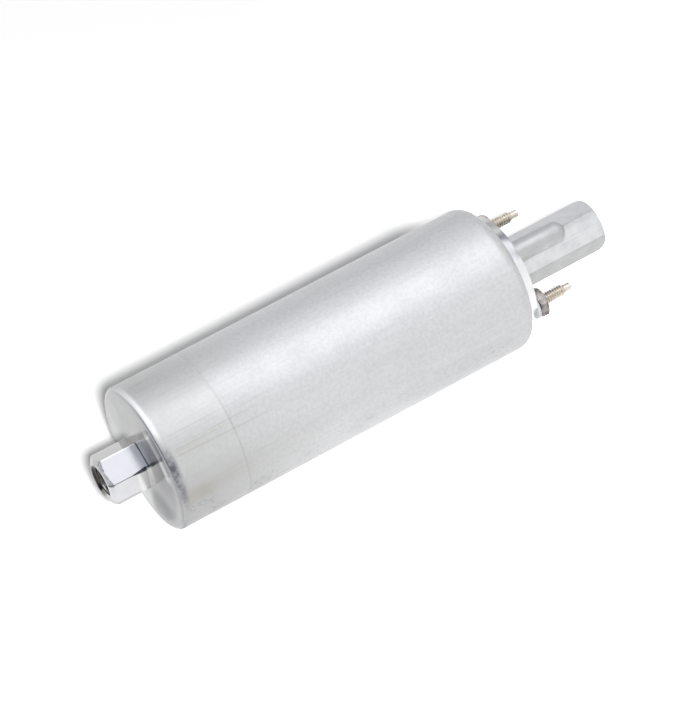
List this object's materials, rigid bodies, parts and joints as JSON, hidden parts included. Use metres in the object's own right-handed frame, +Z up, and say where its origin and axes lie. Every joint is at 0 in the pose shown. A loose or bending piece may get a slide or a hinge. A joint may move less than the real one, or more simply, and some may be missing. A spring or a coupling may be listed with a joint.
{
  "type": "inline electric fuel pump",
  "caption": "Inline electric fuel pump: a round metal shell with a hexagon port at each end, two threaded terminals, a gerotor, a brushed motor and a check valve inside.",
  "frame": {"origin": "on the pump axis, at the middle of the straight part of the shell", "axes": "+X along the pump axis from the inlet to the outlet, +Z up through the rib on the outlet casting, +Y through the positive terminal"},
  "size_m": [0.1676, 0.045, 0.045],
  "materials": {
    "shell_aluminium": "drawn satin with fine lengthwise marks",
    "plated_steel": "bright plated, machined flats",
    "machined_casting": "bright machined and polished",
    "die_cast_zinc": "as cast",
    "seal_rubber": "moulded, matte",
    "strainer_steel": "perforated sheet",
    "sintered_bronze": "sintered, oiled",
    "sintered_steel": "sintered and sized",
    "ground_steel": "ground",
    "washer_plastic": "moulded",
    "spring_steel": "drawn wire and strip",
    "flux_steel": "rolled strip, zinc flash",
    "ferrite": "sintered ferrite, ground",
    "moulded_resin": "compression moulded",
    "coupling_plastic": "moulded acetal",
    "lamination_steel": "stamped sheets",
    "enamelled_copper": "enamelled wire",
    "bare_copper": "turned copper",
    "brush_carbon": "pressed carbon",
    "stud_brass": "tin plated",
    "insulator_nylon": "moulded nylon",
    "nut_steel": "dark zinc plated",
    "valve_brass": "turned"
  },
  "bodies": {
    "root": {"pump_shell": "shell_aluminium", "inlet_fitting": "plated_steel", "inlet_seal": "seal_rubber", "inlet_housing": "die_cast_zinc", "inlet_housing_seal": "seal_rubber", "inlet_strainer": "strainer_steel", "front_bush": "sintered_bronze", "cam_ring": "sintered_steel", "outlet_port_plate": "ground_steel", "dowel_pins": "ground_steel", "relief_spring": "spring_steel", "flux_ring": "flux_steel", "magnets": "ferrite", "magnet_springs": "spring_steel", "brush_holder": "moulded_resin", "rear_bush": "sintered_bronze", "positive_brush_spring": "spring_steel", "negative_brush_spring": "spring_steel", "contact_straps": "bare_copper", "outlet_housing": "machined_casting", "end_cap_seal": "seal_rubber", "positive_stud": "stud_brass", "negative_stud": "stud_brass", "terminal_insulators": "insulator_nylon", "terminal_seals": "seal_rubber", "terminal_nuts": "nut_steel", "check_valve_seat": "valve_brass", "check_valve_guide": "coupling_plastic", "check_valve_spring": "spring_steel"},
    "armature": {"inner_rotor": "sintered_steel", "drive_coupling": "coupling_plastic", "armature_shaft": "ground_steel", "lamination_stack": "lamination_steel", "armature_windings": "enamelled_copper", "commutator_base": "moulded_resin", "commutator_bars": "bare_copper", "thrust_washer": "washer_plastic"},
    "outer_rotor": {"outer_rotor": "sintered_steel"},
    "check_valve": {"check_valve_poppet": "valve_brass", "check_valve_seal": "seal_rubber"},
    "relief_valve": {"relief_ball": "ground_steel"},
    "positive_brush": {"positive_brush": "brush_carbon"},
    "negative_brush": {"negative_brush": "brush_carbon"}
  },
  "joints": [
    {"name": "armature_spin", "type": "hinge", "parent": "root", "child": "armature", "pos_m": [0, 0, 0], "axis": [1, 0, 0], "continuous": true},
    {"name": "outer_rotor_spin", "type": "hinge", "parent": "root", "child": "outer_rotor", "pos_m": [-0.0429, -0.0012, 0], "axis": [1, 0, 0], "continuous": true},
    {"name": "check_valve_lift", "type": "slide", "parent": "root", "child": "check_valve", "axis": [1, 0, 0], "range_m": [0, 0.0025], "stiffness_N_per_m": 220, "springref_m": -0.006, "deforming": ["check_valve_spring"]},
    {"name": "relief_valve_lift", "type": "slide", "parent": "root", "child": "relief_valve", "axis": [-1, 0, 0], "range_m": [0, 0.0012], "stiffness_N_per_m": 220, "springref_m": -0.006, "deforming": ["relief_spring"]},
    {"name": "positive_brush_slide", "type": "slide", "parent": "root", "child": "positive_brush", "axis": [1, 0, 0], "range_m": [0, 0.0015], "stiffness_N_per_m": 220, "springref_m": -0.006, "deforming": ["positive_brush_spring"]},
    {"name": "negative_brush_slide", "type": "slide", "parent": "root", "child": "negative_brush", "axis": [1, 0, 0], "range_m": [0, 0.0015], "stiffness_N_per_m": 220, "springref_m": -0.006, "deforming": ["negative_brush_spring"]}
  ],
  "couplings": [
    {"joint": "outer_rotor_spin", "follows": "armature_spin", "ratio": 0.85714}
  ]
}
